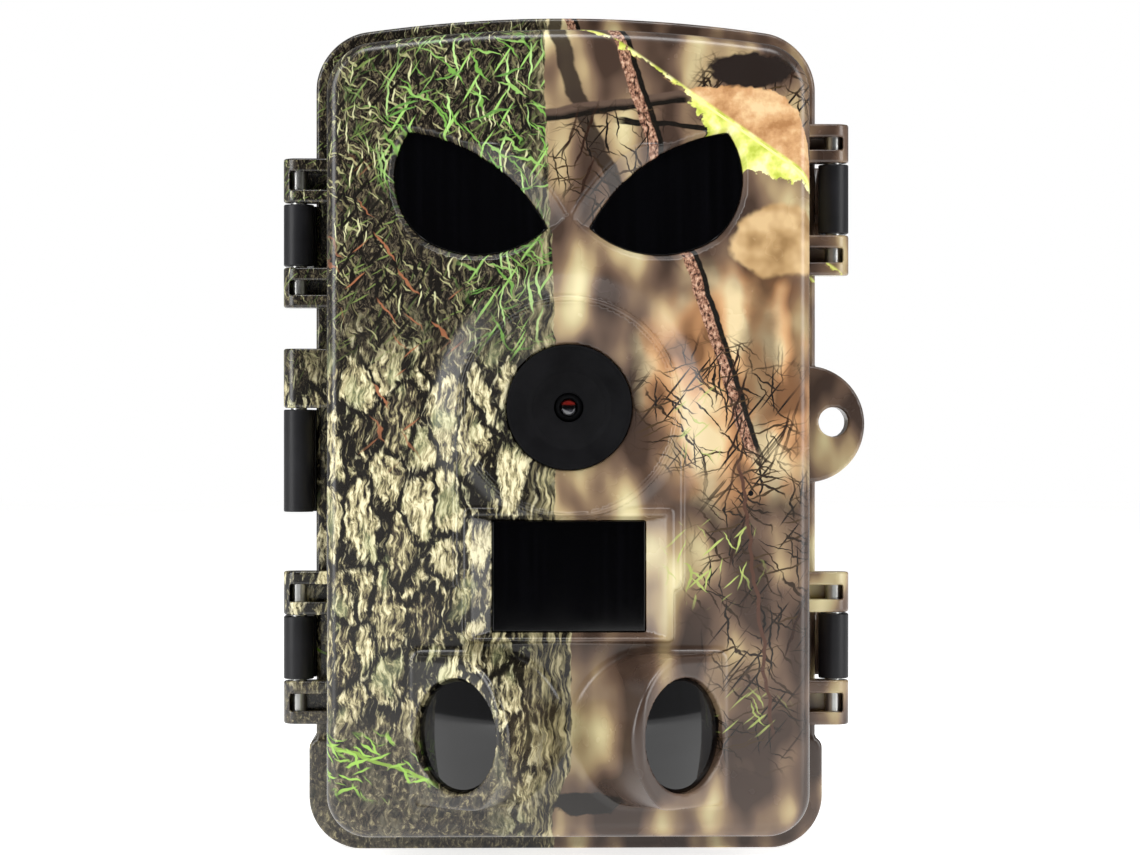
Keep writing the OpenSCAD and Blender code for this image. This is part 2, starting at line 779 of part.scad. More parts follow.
module usb_socket() {
    color("silver") difference() {
        box([18.8, -19.8, 7.2], [28, -17.1, 12.7]);
        box([19.6, -19.2, 8.5], [27.2, -17.7, 14]);
    }
}

// Slider with a ribbed thumb pad; rests at its lower stop, which is off
module mode_switch() {
    z0 = key_z - switch_travel / 2;
    color("dimgray") {
        box([switch_x - 4.4, frame_front - 1.5, z0 - 4], [switch_x + 4.4, frame_front - 0.3, z0 + 4]);
        box([switch_x - 2.6, frame_front - 0.4, z0 - 3], [switch_x + 2.6, frame_back + 0.6, z0 + 3]);
        for (i = [-2 : 2]) box([switch_x - 2.2, frame_back + 0.5, z0 + i - 0.25],
            [switch_x + 2.2, frame_back + 0.9, z0 + i + 0.25]);
    }
}

key_centres = [[menu_x, key_z], [0, key_z], [0, key_z + key_pitch], [0, key_z - key_pitch],
    [-key_pitch, key_z], [key_pitch, key_z]];

module key(i) {
    p = key_centres[i];
    color("slategray") {
        rod_y(p[0], p[1], key_r, key_y[0], key_y[1]);
        rod_y(p[0], p[1], key_r + 0.8, key_y[0] - 0.6, key_y[0] + 0.3);
    }
}

module key_menu() { key(0); }
module key_ok() { key(1); }
module key_up() { key(2); }
module key_down() { key(3); }
module key_left() { key(4); }
module key_right() { key(5); }

rear_shell();
gasket();
battery_tray();
cells();
contact_springs();
contact_plates();
tray_screws();
tripod_block();
tripod_insert();
strap_loops();
tree_grips();
power_socket();
port_cover();
hinge_leaf_upper();
hinge_leaf_middle();
hinge_leaf_lower();
leaf_screws();
front_cover();
inner_frame();
frame_screws();
main_board();
display_module();
display_window();
lens_bezel();
lens_barrel();
lens_element();
ir_cut_filter();
sensor_board();
ir_window_left();
ir_window_right();
ir_board_left();
ir_board_right();
ir_leds_left();
ir_leds_right();
pir_window();
side_pir_window_left();
side_pir_window_right();
pir_sensors();
microphone();
speaker();
card_socket();
memory_card();
usb_socket();
hinge_pin_upper();
hinge_pin_middle();
hinge_pin_lower();
latch_pin_upper();
latch_pin_lower();
latch_upper();
latch_lower();
mode_switch();
key_menu();
key_ok();
key_up();
key_down();
key_left();
key_right();
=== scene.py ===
"""Looks of the trail camera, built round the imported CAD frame.

The two camouflaged mouldings and their ears are meshed from smooth distance fields, in millimetres.
Everything else keeps its CAD shape, with softened edges, and gets a procedural material.
"""
import json
import math

import bmesh
import bpy
import numpy as np
from mathutils import Matrix, Vector


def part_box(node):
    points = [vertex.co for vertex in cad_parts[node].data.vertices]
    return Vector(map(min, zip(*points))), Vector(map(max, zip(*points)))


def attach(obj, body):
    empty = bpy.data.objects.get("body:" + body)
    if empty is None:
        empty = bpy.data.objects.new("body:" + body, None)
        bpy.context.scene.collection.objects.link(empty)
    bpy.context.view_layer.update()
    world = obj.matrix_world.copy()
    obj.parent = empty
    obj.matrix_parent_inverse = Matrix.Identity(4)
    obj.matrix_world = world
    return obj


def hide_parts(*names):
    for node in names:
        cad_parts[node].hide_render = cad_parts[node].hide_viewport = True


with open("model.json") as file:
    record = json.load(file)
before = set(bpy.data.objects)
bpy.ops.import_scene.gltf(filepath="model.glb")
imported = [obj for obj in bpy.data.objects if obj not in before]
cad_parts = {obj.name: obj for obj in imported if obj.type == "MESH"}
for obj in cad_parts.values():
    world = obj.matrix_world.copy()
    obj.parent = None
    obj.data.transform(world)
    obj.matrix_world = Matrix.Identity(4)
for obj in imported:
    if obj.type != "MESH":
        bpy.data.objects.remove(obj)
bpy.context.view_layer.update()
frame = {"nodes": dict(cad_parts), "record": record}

MM = 0.001


# ---------- places taken from the frame, in millimetres ----------

def box_mm(node):
    low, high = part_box(node)
    return np.array(low) / MM, np.array(high) / MM


def middle(node):
    low, high = box_mm(node)
    return (low + high) / 2


shell_low, shell_high = box_mm("rear_shell")
cover_low, cover_high = box_mm("front_cover")
frame_low, frame_high = box_mm("inner_frame")
bezel_low, bezel_high = box_mm("lens_bezel")
mounts = {m["name"]: m for m in frame["record"]["mounts"]}

SPLIT_Y = shell_low[1]
COVER_BACK = cover_high[1]
CASE_TOP = shell_high[2]
FOOT_HW = -shell_low[0]
SHELL_HW = FOOT_HW - 1.3
COVER_HW = frame_high[0] + 2.4
COVER_LOW, COVER_TOP = cover_low[2], cover_high[2]
FACE_Y = COVER_BACK - 21.7
ARCH_R = 250.0
WALL = 2.2
BEZEL_R = (bezel_high[0] - bezel_low[0]) / 2
LENS_Z = middle("lens_bezel")[2]
PIR_Z = middle("pir_window")[2]
PIN = middle("latch_pin_upper")[:2]
PIN_R = (box_mm("latch_pin_upper")[1][0] - box_mm("latch_pin_upper")[0][0]) / 2
KNUCKLE_R = 2.7
RIB = 2.3
MIC_X, MIC_Z = 31.8, 64.5
EYELET = np.array(mounts["padlock_hole"]["pos_m"]) / MM
PADLOCK_R = mounts["padlock_hole"]["dims"]["r_mm"]


# ---------- distance fields: negative inside, on arrays of points ----------

def hypot(a, b):
    return np.sqrt(a * a + b * b)


def smooth_max(a, b, k):
    h = np.maximum(k - np.abs(a - b), 0) / k
    return np.maximum(a, b) + h * h * k * 0.25


def smooth_min(a, b, k):
    return -smooth_max(-a, -b, k)


def ease(a, low, high):
    t = np.clip((a - low) / (high - low), 0, 1)
    return t * t * (3 - 2 * t)


def joined(a, b, r):
    """Distance to where both a and b are negative, with the edge between them rounded by r."""
    return hypot(np.maximum(a + r, 0), np.maximum(b + r, 0)) + np.minimum(np.maximum(a, b) + r, 0) - r


def rect(a, b, a0, a1, b0, b1, r):
    """Rounded rectangle from a0 to a1 and b0 to b1."""
    return joined(np.abs(a - (a0 + a1) / 2) - (a1 - a0) / 2, np.abs(b - (b0 + b1) / 2) - (b1 - b0) / 2, r)


def between(a, low, high):
    return np.abs(a - (low + high) / 2) - (high - low) / 2


def arched(x, z, half, low, top, corner):
    """Rounded panel whose top edge is an arc."""
    lifted = z + x * x / (2 * ARCH_R) * np.clip((z - 40) / 60, 0, 1)
    return rect(x, lifted, -half, half, low, top, corner)


EYE_TOP, EYE_TOP_R = (31.86, 96.0), 31.9
EYE_LOW, EYE_LOW_R = (15.9, 124.4), 18.3
EYE_OUT, EYE_OUT_R = (16.4, 119.5), 14.1


def eye_arcs(a, z):
    """Distances outside the upper, the lower and the outer arc of an almond window; a is |x|."""
    upper = hypot(a - EYE_TOP[0], z - EYE_TOP[1]) - EYE_TOP_R
    lower = hypot(a - EYE_LOW[0], z - EYE_LOW[1]) - EYE_LOW_R
    outer = hypot(np.maximum(a - EYE_OUT[0], 0), z - EYE_OUT[1]) - EYE_OUT_R
    outer = np.where(a > EYE_OUT[0], outer, -5.0)
    return upper, lower, outer


# ---------- mesher ----------

CORNERS = np.array([(i, j, k) for i in (0, 1) for j in (0, 1) for k in (0, 1)])
EDGES = [(a, b) for a in range(8) for b in range(a + 1, 8) if np.abs(CORNERS[a] - CORNERS[b]).sum() == 1]


def gradient(field, points, step=0.04):
    out = np.empty_like(points)
    for axis in range(3):
        shift = np.zeros(3)
        shift[axis] = step
        ahead, behind = points + shift, points - shift
        out[:, axis] = (field(*ahead.T) - field(*behind.T)) / (2 * step)
    return out


def settle(field, points, reach, rounds=3):
    """Moves points onto the surface of field, each by no more than reach a round."""
    for _ in range(rounds):
        slope = gradient(field, points)
        size = np.maximum((slope ** 2).sum(1), 0.05)
        move = (field(*points.T) / size)[:, None] * slope
        far = np.maximum(np.linalg.norm(move, axis=1) / reach, 1)
        points = points - move / far[:, None]
    return points


def net(field, low, high, step):
    """Surface net of a distance field in a box: its points and its quads."""
    low = np.array(low, float)
    counts = np.ceil((np.array(high) - low) / step).astype(int) + 1
    axes = [low[i] + step * np.arange(counts[i]) for i in range(3)]
    values = np.empty(counts, np.float32)
    for i in range(0, counts[0], 24):
        grid = np.meshgrid(axes[0][i:i + 24], axes[1], axes[2], indexing="ij")
        values[i:i + 24] = field(*grid)
    inside = values < 0
    total = sum(inside[i:counts[0] - 1 + i, j:counts[1] - 1 + j, k:counts[2] - 1 + k].astype(np.int8)
                for i, j, k in CORNERS)
    active = (total > 0) & (total < 8)
    index = np.full(active.shape, -1, np.int64)
    cells = np.argwhere(active)
    index[active] = np.arange(len(cells))
    spot = np.zeros((len(cells), 3))
    hits = np.zeros(len(cells))
    for a, b in EDGES:
        va = values[tuple((cells + CORNERS[a]).T)]
        vb = values[tuple((cells + CORNERS[b]).T)]
        cut = (va < 0) != (vb < 0)
        t = np.where(cut, va / np.where(cut, va - vb, 1), 0)
        spot += cut[:, None] * (CORNERS[a] + t[:, None] * (CORNERS[b] - CORNERS[a]))
        hits += cut
    points = low + step * (cells + spot / hits[:, None])
    quads = []
    for axis in range(3):
        near = np.take(inside, range(counts[axis] - 1), axis)
        far = np.take(inside, range(1, counts[axis]), axis)
        p, q = [k for k in range(3) if k != axis]
        spots = np.argwhere(near != far)
        spots = spots[(spots[:, p] > 0) & (spots[:, q] > 0)
                      & (spots[:, p] < counts[p] - 1) & (spots[:, q] < counts[q] - 1)]
        ring = []
        for dp, dq in ((0, 0), (-1, 0), (-1, -1), (0, -1)):
            c = spots.copy()
            c[:, p] += dp
            c[:, q] += dq
            ring.append(index[tuple(c.T)])
        ring = np.stack(ring, 1)
        out = near[tuple(spots.T)] != (axis == 1)
        ring[~out] = ring[~out][:, ::-1]
        quads.append(ring)
    return points, np.concatenate(quads)


def thin_out(points, faces, keep):
    """Collapses a mesh to a share of its faces and gives its points and triangles."""
    mesh = bpy.data.meshes.new("dense")
    mesh.from_pydata(points.tolist(), [], faces.tolist())
    thing = bpy.data.objects.new("dense", mesh)
    bpy.context.scene.collection.objects.link(thing)
    collapse = thing.modifiers.new("Collapse", "DECIMATE")
    collapse.ratio = keep
    graph = bpy.context.evaluated_depsgraph_get()
    small = bpy.data.meshes.new_from_object(thing.evaluated_get(graph))
    spots = np.empty(len(small.vertices) * 3)
    small.vertices.foreach_get("co", spots)
    small.calc_loop_triangles()
    tris = np.empty(len(small.loop_triangles) * 3, np.int32)
    small.loop_triangles.foreach_get("vertices", tris)
    bpy.data.objects.remove(thing)
    for spare in (mesh, small):
        bpy.data.meshes.remove(spare)
    return spots.reshape(-1, 3), tris.reshape(-1, 3)


def skin(field, low, high, step, keep=1.0):
    """Points, triangles and normals of one closed surface."""
    points, faces = net(field, low, high, step)
    points = settle(field, points, step * 0.5)
    if keep < 1:
        points, faces = thin_out(points, faces, keep)
        points = settle(field, points, step * 0.25, 1)
    else:
        faces = np.concatenate([faces[:, [0, 1, 2]], faces[:, [0, 2, 3]]])
    normals = gradient(field, points)
    return points, faces, normals / np.maximum(np.linalg.norm(normals, axis=1), 1e-6)[:, None]


def add_object(name, mesh, body, material):
    thing = bpy.data.objects.new(name, mesh)
    bpy.context.scene.collection.objects.link(thing)
    mesh.materials.append(material)
    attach(thing, body)
    return thing


def object_of(name, skins, body, material):
    """One object made of several closed skins."""
    points, faces, normals, count = [], [], [], 0
    for p, f, n in skins:
        points.append(p * MM)
        faces.append(f + count)
        normals.append(n)
        count += len(p)
    mesh = bpy.data.meshes.new(name)
    mesh.from_pydata(np.concatenate(points).tolist(), [], np.concatenate(faces).tolist())
    mesh.polygons.foreach_set("use_smooth", np.ones(len(mesh.polygons), bool))
    mesh.normals_split_custom_set_from_vertices(np.concatenate(normals).tolist())
    return add_object(name, mesh, body, material)


def lathe(name, profile, centre, axis, body, material, turns=96):
    """Turns (radius, along) points, in millimetres, about an axis through centre."""
    points, faces = [], []
    for i in range(turns):
        angle = 2 * math.pi * i / turns
        points += [(r * math.cos(angle), r * math.sin(angle), h) for r, h in profile]
    n = len(profile)
    for i in range(turns):
        j = (i + 1) % turns
        faces += [(i * n + k, j * n + k, j * n + k + 1, i * n + k + 1) for k in range(n - 1)]
    mesh = bpy.data.meshes.new(name)
    mesh.from_pydata(points, [], faces)
    turn = Vector((0, 0, 1)).rotation_difference(Vector(axis)).to_matrix().to_4x4()
    mesh.transform(Matrix.Translation(Vector(centre) * MM) @ turn @ Matrix.Scale(MM, 4))
    mesh.polygons.foreach_set("use_smooth", np.ones(len(mesh.polygons), bool))
    mesh.validate()
    weld(mesh)
    return add_object(name, mesh, body, material)


def weld(mesh):
    b = bmesh.new()
    b.from_mesh(mesh)
    bmesh.ops.remove_doubles(b, verts=b.verts, dist=1e-6)
    bmesh.ops.recalc_face_normals(b, faces=b.faces)
    b.to_mesh(mesh)
    b.free()


# ---------- the front moulding ----------

DOME_R = 19.0
CREST = 38.6
FLANK = (0.421, 0.907)
DISH = (-0.087, 0.996)
COLUMN = (19.9, 47.6, 37.9)
PIR_FRAME = (18.3, 38.6, 38.2)
PIR_W, PIR_H = 13.5, 9.8
SOCKET_DEPTH = 1.2
FACET = np.array((20.1, -43.8, 22.8))
SLANT = math.sqrt(0.5)
SIDE_R = 10.0
BOSS_X, BOSS_Z = (0.7, 27.4), (10.1, 37.0)
LUG_R, LUG_T = 10.5, 5.0
LUG = (43.0, 76.6)


def brow_slope(x, z):
    """0 at the edge of an almond window and 1 where its sloping surround meets the face."""
    a = np.abs(x)
    upper, lower, outer = eye_arcs(a, z)
    width = 3.6 - 2.9 * ease(a, 9, 20)
    return np.maximum(upper / width, np.maximum(lower, outer) / 0.9)


def face_panel(x, y, z):
    a = np.abs(x)
    slope, upper = brow_slope(x, z), eye_arcs(a, z)[0] / (3.6 - 2.9 * ease(a, 9, 20))
    rim = 0.38 * np.exp(-((upper - 1) / 0.17) ** 2) * (1 - ease(a, 13, 20)) * (slope < upper + 0.01)
    sunk = SOCKET_DEPTH * smooth_max(1 - slope, 0, 0.12) - rim
    return joined(arched(x, z, COVER_HW, COVER_LOW, COVER_TOP, 7.5), FACE_Y + sunk - y, 2.5)


def dome(x, y, z):
    r, proud = hypot(x, z - LENS_Z) - DOME_R, -y - CREST
    swell = smooth_max(r * FLANK[0] + proud * FLANK[1], r * DISH[0] + proud * DISH[1], 0.5)
    swell = smooth_min(swell, hypot(r, proud - 0.05) - 0.5, 0.15)
    return np.maximum(swell, y - FACE_Y - 1.5)


def raised(x, y, z, half, low, high, front, corner, edge):
    return joined(rect(x, z, -half, half, low, high, corner), -front - y, edge)


def facet_place(a, y, z):
    """Along, up and below the turned facet of a side boss; a is |x|."""
    along = (a - FACET[0]) * SLANT + (y - FACET[1]) * SLANT
    below = (y - FACET[1]) * SLANT - (a - FACET[0]) * SLANT
    return along, z - FACET[2], below


def boss(a, y, z, inset=0.0):
    along, up, below = facet_place(a, y, z)
    lean = np.minimum(along - 0.21 * below, 0) * 1.13
    round_side = (hypot(lean, up) - 13.9) * 0.85
    inner = rect(a, z, BOSS_X[0], 60, -30, BOSS_Z[1], 12.5)
    outer = rect(a, z, -20, BOSS_X[1], BOSS_Z[0], BOSS_Z[1], 1.5)
    block = smooth_max(joined(round_side, -below, 1.3), joined(np.maximum(inner, outer), -below, 0.9), 0.8)
    return smooth_max(block, -51.3 - y, 0.8) + inset


def cover_body(x, y, z):
    a = np.abs(x)
    body = face_panel(x, y, z)
    body = smooth_min(body, dome(x, y, z), 0.7)
    body = smooth_min(body, raised(x, y, z, COLUMN[0], COLUMN[1], LENS_Z, COLUMN[2], 1.6, 0.7), 0.5)
    body = smooth_min(body, raised(x, y, z, PIR_FRAME[0], PIR_FRAME[1], 62, PIR_FRAME[2], 1.0, 0.5), 0.4)
    body = smooth_min(body, np.maximum(boss(a, y, z), y + 30), 1.2)
    lug = smooth_max(hypot(x - LUG[0], z - LUG[1]) - LUG_R, between(y, COVER_BACK - LUG_T, COVER_BACK), 0.6)
    body = smooth_min(body, np.maximum(lug, 40.5 - x), 0.3)
    return smooth_max(body, y - COVER_BACK, 0.4)


def cover_hollow(x, y, z):
    """Room inside the cover, its windows and its bores."""
    a = np.abs(x)
    inside = FACE_Y + WALL
    room = joined(arched(x, z, COVER_HW, COVER_LOW, COVER_TOP, 7.5) + WALL, inside - y, 0.8)
    for px, pz in ((-35, 14), (35, 9.5), (-35, 134), (35, 134)):
        room = np.maximum(room, -np.maximum(hypot(x - px, z - pz) - 2.8, y - frame_low[1]))
    room = np.minimum(room, np.maximum(boss(a, y, z, 2.4), y + 33))
    eye = np.maximum.reduce(eye_arcs(a, z))
    r = hypot(x, z - LENS_Z)
    lens = np.minimum(np.maximum(r - BEZEL_R - 0.05, y + 35.1), r - BEZEL_R + 2)
    sunk = np.clip((-y - 35.6) / 2.6, 0, 2)
    pir = smooth_max(a - PIR_W - 3.6 * sunk, np.abs(z - PIR_Z) - PIR_H - 0.8 * sunk, 0.3)
    along, up, below = facet_place(a, y, z)
    side = smooth_max(hypot(along, up) - SIDE_R, below - 3.6, 0.2)
    lock = hypot(x - EYELET[0], z - EYELET[2]) - PADLOCK_R
    return np.minimum.reduce([room, np.maximum(eye, y - inside - 1), np.maximum(lens, y - inside - 1),
                              np.maximum(pir, y - inside - 1), side, lock])


def cover_field(x, y, z):
    return smooth_max(cover_body(x, y, z), -cover_hollow(x, y, z), 0.35)


# ---------- ears that carry the hinge and latch pins ----------

UPPER_EARS, MIDDLE_EAR, LOWER_EARS = (97.4, 104.6, 116.2, 124.1), (79.5, 90.1), (23.0, 30.7, 42.5, 50.3)
HIGH_LATCH, LOW_LATCH = (103.3, 110.5, 123.5, 130.4), (22.7, 30.7, 42.9, 50.1)


def ear_field(side, low, high, pocket):
    def field(x, y, z):
        a = x * side
        barrel = hypot(a - PIN[0], y - PIN[1]) - KNUCKLE_R
        neck = rect(a, y, 41.4, PIN[0], PIN[1] - KNUCKLE_R, PIN[1] + KNUCKLE_R, 0.2)
        ear = joined(np.minimum(barrel, neck), between(z, low, high), 0.4)
        if pocket:
            hole = rect(a, z, COVER_HW + 0.3, PIN[0] + 1.5, low + RIB, high - RIB, 0.3)
            ear = smooth_max(ear, -np.maximum(hole, y - PIN[1] - 1.8), 0.3)
        bore = np.maximum(hypot(a - PIN[0], y - PIN[1]) - PIN_R - 0.02, between(z, low + 0.8, high - 0.8))
        return np.maximum(ear, -bore)
    return field


def ear_skins(side, heights, pocket=True):
    skins = []
    for low, high in zip(heights[::2], heights[1::2]):
        x = sorted((side * 40.8, side * (PIN[0] + KNUCKLE_R + 0.8)))
        skins.append(skin(ear_field(side, low, high, pocket), (x[0], PIN[1] - 3.4, low - 0.7),
                          (x[1], PIN[1] + 3.4, high + 0.7), EAR_STEP))
    return skins


# ---------- the rear moulding ----------

CATCH = (-6.2, -3.8)
FLAP = middle("port_cover")
BLOCK = box_mm("tripod_block")[1][0] - 2


def shell_field(x, y, z):
    panel = arched(x, z, SHELL_HW, 0, CASE_TOP, 9)
    front = SPLIT_Y - y
    body = smooth_max(joined(panel, y - shell_high[1], 4), front, 0.8)
    foot = joined(joined(rect(x, z, -FOOT_HW, FOOT_HW, 0, 40, 9.5), z - 20, 2), y - 19, 2)
    body = smooth_min(body, smooth_max(foot, front, 0.8), 0.5)
    for low, high in ((HIGH_LATCH[1], HIGH_LATCH[2]), (LOW_LATCH[1], LOW_LATCH[2])):
        ridge = np.maximum(rect(x, y, 40, SHELL_HW + 1.8, CATCH[0], CATCH[1], 0.4), between(z, low, high))
        body = np.minimum(body, ridge)
    lug = smooth_max(hypot(x - LUG[0], z - LUG[1]) - LUG_R, between(y, SPLIT_Y, SPLIT_Y + LUG_T), 0.6)
    body = smooth_min(body, np.maximum(lug, 43.5 - x), 0.3)
    room = np.maximum(panel + WALL, between(y, SPLIT_Y + 4, shell_high[1] - WALL - 0.2))
    room = np.maximum(room, -rect(x, z, 16, 36, -5, 12, 0.5))
    for side in (-1, 1):
        post = hypot(x - side * 30.6, z - 80.2) - 2.6
        room = np.maximum(room, -np.maximum(post, 19 - y))
    groove = np.maximum.reduce([panel + 3, -panel - 4.8, y - SPLIT_Y - 1.8])
    recess = np.maximum(rect(x, y, FLAP[0] - 7.3, FLAP[0] + 7.3, 2 - 6.3, 2 + 6.3, 0.4), z - 2.2)
    lock = hypot(x - EYELET[0], z - EYELET[2]) - PADLOCK_R - 0.25
    socket = np.maximum(hypot(x - FLAP[0], y - 2) - 4, z - 19)
    floor = np.maximum(rect(x, y, -BLOCK - 0.1, BLOCK + 0.1, -BLOCK - 0.1, BLOCK + 0.1, 0.2), z - 4)
    cuts = np.minimum.reduce([room, np.maximum(panel + 6, y - SPLIT_Y - 5), groove, recess, socket, floor,
                              np.maximum(lock, y + 8)])
    return smooth_max(body, -cuts, 0.3)


# ---------- shader graphs, written as arithmetic ----------

class Wire:
    """One output of a node, with arithmetic."""

    def __init__(self, graph, socket):
        self.graph, self.socket = graph, socket

    def __add__(self, other):
        return self.graph.math("ADD", self, other)

    def __sub__(self, other):
        return self.graph.math("SUBTRACT", self, other)

    def __rsub__(self, other):
        return self.graph.math("SUBTRACT", other, self)

    def __mul__(self, other):
        return self.graph.math("MULTIPLY", self, other)

    def __truediv__(self, other):
        return self.graph.math("DIVIDE", self, other)

    def __abs__(self):
        return self.graph.math("ABSOLUTE", self)

    __radd__, __rmul__ = __add__, __mul__


class Graph:
    """A material whose node tree is built by calls."""

    def __init__(self, name):
        self.material = bpy.data.materials.new(name)
        self.material.use_nodes = True
        self.tree = self.material.node_tree
        self.shader = next(n for n in self.tree.nodes if n.type == "BSDF_PRINCIPLED")

    def node(self, kind, inputs, output=0, **settings):
        made = self.tree.nodes.new("ShaderNode" + kind)
        for key, value in settings.items():
            setattr(made, key, value)
        for key, value in inputs.items():
            self.put(made.inputs[key], value)
        return Wire(self, made.outputs[output])

    def put(self, socket, value):
        if isinstance(value, Wire):
            self.tree.links.new(value.socket, socket)
        else:
            socket.default_value = value

    def set(self, **values):
        for key, value in values.items():
            self.put(self.shader.inputs[key.replace("_", " ")], value)

    def math(self, kind, *args):
        return self.node("Math", dict(enumerate(args)), operation=kind)

    def warp(self, spot, scale, turn=0.0, seed=0.0, kind="POINT"):
        return self.node("Mapping", {"Vector": spot, "Scale": scale, "Rotation": (0.0, 0.0, turn),
                                     "Location": (0.0, 0.0, seed)}, vector_type=kind)

    def parts(self, spot):
        made = self.tree.nodes.new("ShaderNodeSeparateXYZ")
        self.put(made.inputs[0], spot)
        return [Wire(self, out) for out in made.outputs]

    def place(self):
        """Where the point is on the object, in millimetres, and its three parts."""
        spot = self.warp(self.node("TexCoord", {}, "Object"), (1000.0, 1000.0, 1000.0))
        return spot, self.parts(spot)

    def spot(self, u, v, w=0.0):
        return self.node("CombineXYZ", {0: u, 1: v, 2: w})

    def noise(self, spot, size, detail=2.0, rough=0.5, bend=0.0, squeeze=(1.0, 1.0, 1.0), seed=0.0):
        """Cloudy value near 0.5; squeeze above 1 makes it finer along that axis."""
        spot = self.warp(spot, tuple(k / size for k in squeeze), 0.0, seed)
        return self.node("TexNoise", {"Vector": spot, "Scale": 1.0, "Detail": detail,
                                      "Roughness": rough, "Distortion": bend})

    def step(self, value, low, high):
        """0 below low and 1 above high, with a smooth rise; low may be the larger."""
        return self.node("MapRange", {"Value": value, "From Min": low, "From Max": high},
                         interpolation_type="SMOOTHSTEP")

    def ramp(self, value, *stops):
        made = self.tree.nodes.new("ShaderNodeValToRGB")
        self.put(made.inputs[0], value)
        elements = made.color_ramp.elements
        while len(elements) < len(stops):
            elements.new(0.5)
        for element, (at, colour) in zip(elements, stops):
            element.position = at
            element.color = (*colour, 1)
        return Wire(self, made.outputs[0])

    def mix(self, share, below, above):
        made = self.tree.nodes.new("ShaderNodeMix")
        made.data_type = "RGBA"
        for index, value in ((0, share), (6, below), (7, above)):
            self.put(made.inputs[index], (*value, 1) if isinstance(value, tuple) else value)
        return Wire(self, made.outputs[2])

    def bump(self, height, depth_mm, strength=1.0):
        self.put(self.shader.inputs["Normal"], self.node(
            "Bump", {"Height": height, "Distance": depth_mm * MM, "Strength": strength}))

    def blob(self, spot, centre, radii, ragged=0.0, size=3.0, soft=0.1):
        """Mask of a ragged oval."""
        u, v = self.print_parts
        du, dv = (u - centre[0]) / radii[0], (v - centre[1]) / radii[1]
        far = self.math("SQRT", du * du + dv * dv)
        if ragged:
            far = far + (self.noise(spot, size, 3.0, seed=centre[0]) - 0.5) * ragged
        return self.step(far, 1 + soft, 1 - soft)

    def strokes(self, spot, turn, length, width, crowding, seed):
        """Mask of tapered strokes lying at an angle; crowding is the share of a cell that each fills."""
        cells = self.warp(spot, (length / crowding, width / crowding, 1.0), turn, seed, "TEXTURE")
        far = self.node("TexVoronoi", {"Vector": cells, "Scale": 1.0}, "Distance")
        return self.step(far, crowding * 1.12, crowding * 0.72)


def tint(code):
    """Linear colour of a hexadecimal sRGB code."""
    parts = [int(code[i:i + 2], 16) / 255 for i in (0, 2, 4)]
    return tuple(p / 12.92 if p <= 0.04045 else ((p + 0.055) / 1.055) ** 2.4 for p in parts)


# ---------- camouflage print ----------

BLACK, SHADE, UMBER = tint("120f0b"), tint("2d2720"), tint("4b4336")
OLIVE, KHAKI, STRAW, CREAM = tint("6b6449"), tint("948b68"), tint("bab08a"), tint("ded6b0")


def trunk_edge(g, plain):
    """1 on the trunk and 0 on the background to its right."""
    u, v = g.print_parts
    edge = g.step(v, 145, 85) * 1.9 + g.step(v, 58, 46) * 2.8 - g.step(v, 18, 8) * 3.2 - 4.3
    edge = edge + (g.noise(plain, 2.6, 3.0, squeeze=(0.4, 1, 1)) - 0.5) * 1.3
    return g.step(edge - u, -0.12, 0.12)


def bark(g, loose):
    u, v = g.print_parts
    fine = g.noise(loose, 1.0, 4.0, 0.66, 0.5, (1.25, 0.42, 1))
    cells = {"Vector": g.warp(loose, (0.20, 0.10, 1.0)), "Scale": 1.0}
    gap = g.node("TexVoronoi", cells, "Distance", feature="DISTANCE_TO_EDGE")
    chance = g.node("SeparateColor", {0: g.node("TexVoronoi", cells, "Color")})
    fibre = g.noise(loose, 0.55, 4.0, 0.62, 0.3, (1.0, 0.12, 1), 5.0)
    tone = fine * 0.95 + fibre * 0.60 + chance * 0.17 + g.step(v, 100, 62) * 0.03 - 0.37
    colour = g.ramp(tone, (0.32, BLACK), (0.40, SHADE), (0.45, UMBER), (0.49, OLIVE), (0.54, KHAKI),
                    (0.60, STRAW), (0.68, CREAM))
    lichen = g.step(g.noise(loose, 5.0, 2.0, squeeze=(1, 0.5, 1), seed=9.0), 0.52, 0.66)
    colour = g.mix(lichen * 0.35, colour, tint("87936a"))
    solid = g.step(gap + (fine - 0.5) * 0.42, 0.03, 0.15)
    rough = g.mix(solid, BLACK, colour)
    stripes = g.ramp(g.noise(loose, 0.8, 3.0, 0.6, 0.4, (1.0, 0.13, 1), 7.0), (0.40, BLACK), (0.46, SHADE),
                     (0.52, OLIVE), (0.57, KHAKI), (0.65, STRAW))
    return g.mix(g.step(u, -8.5, -4.0) * 0.8, rough, stripes)


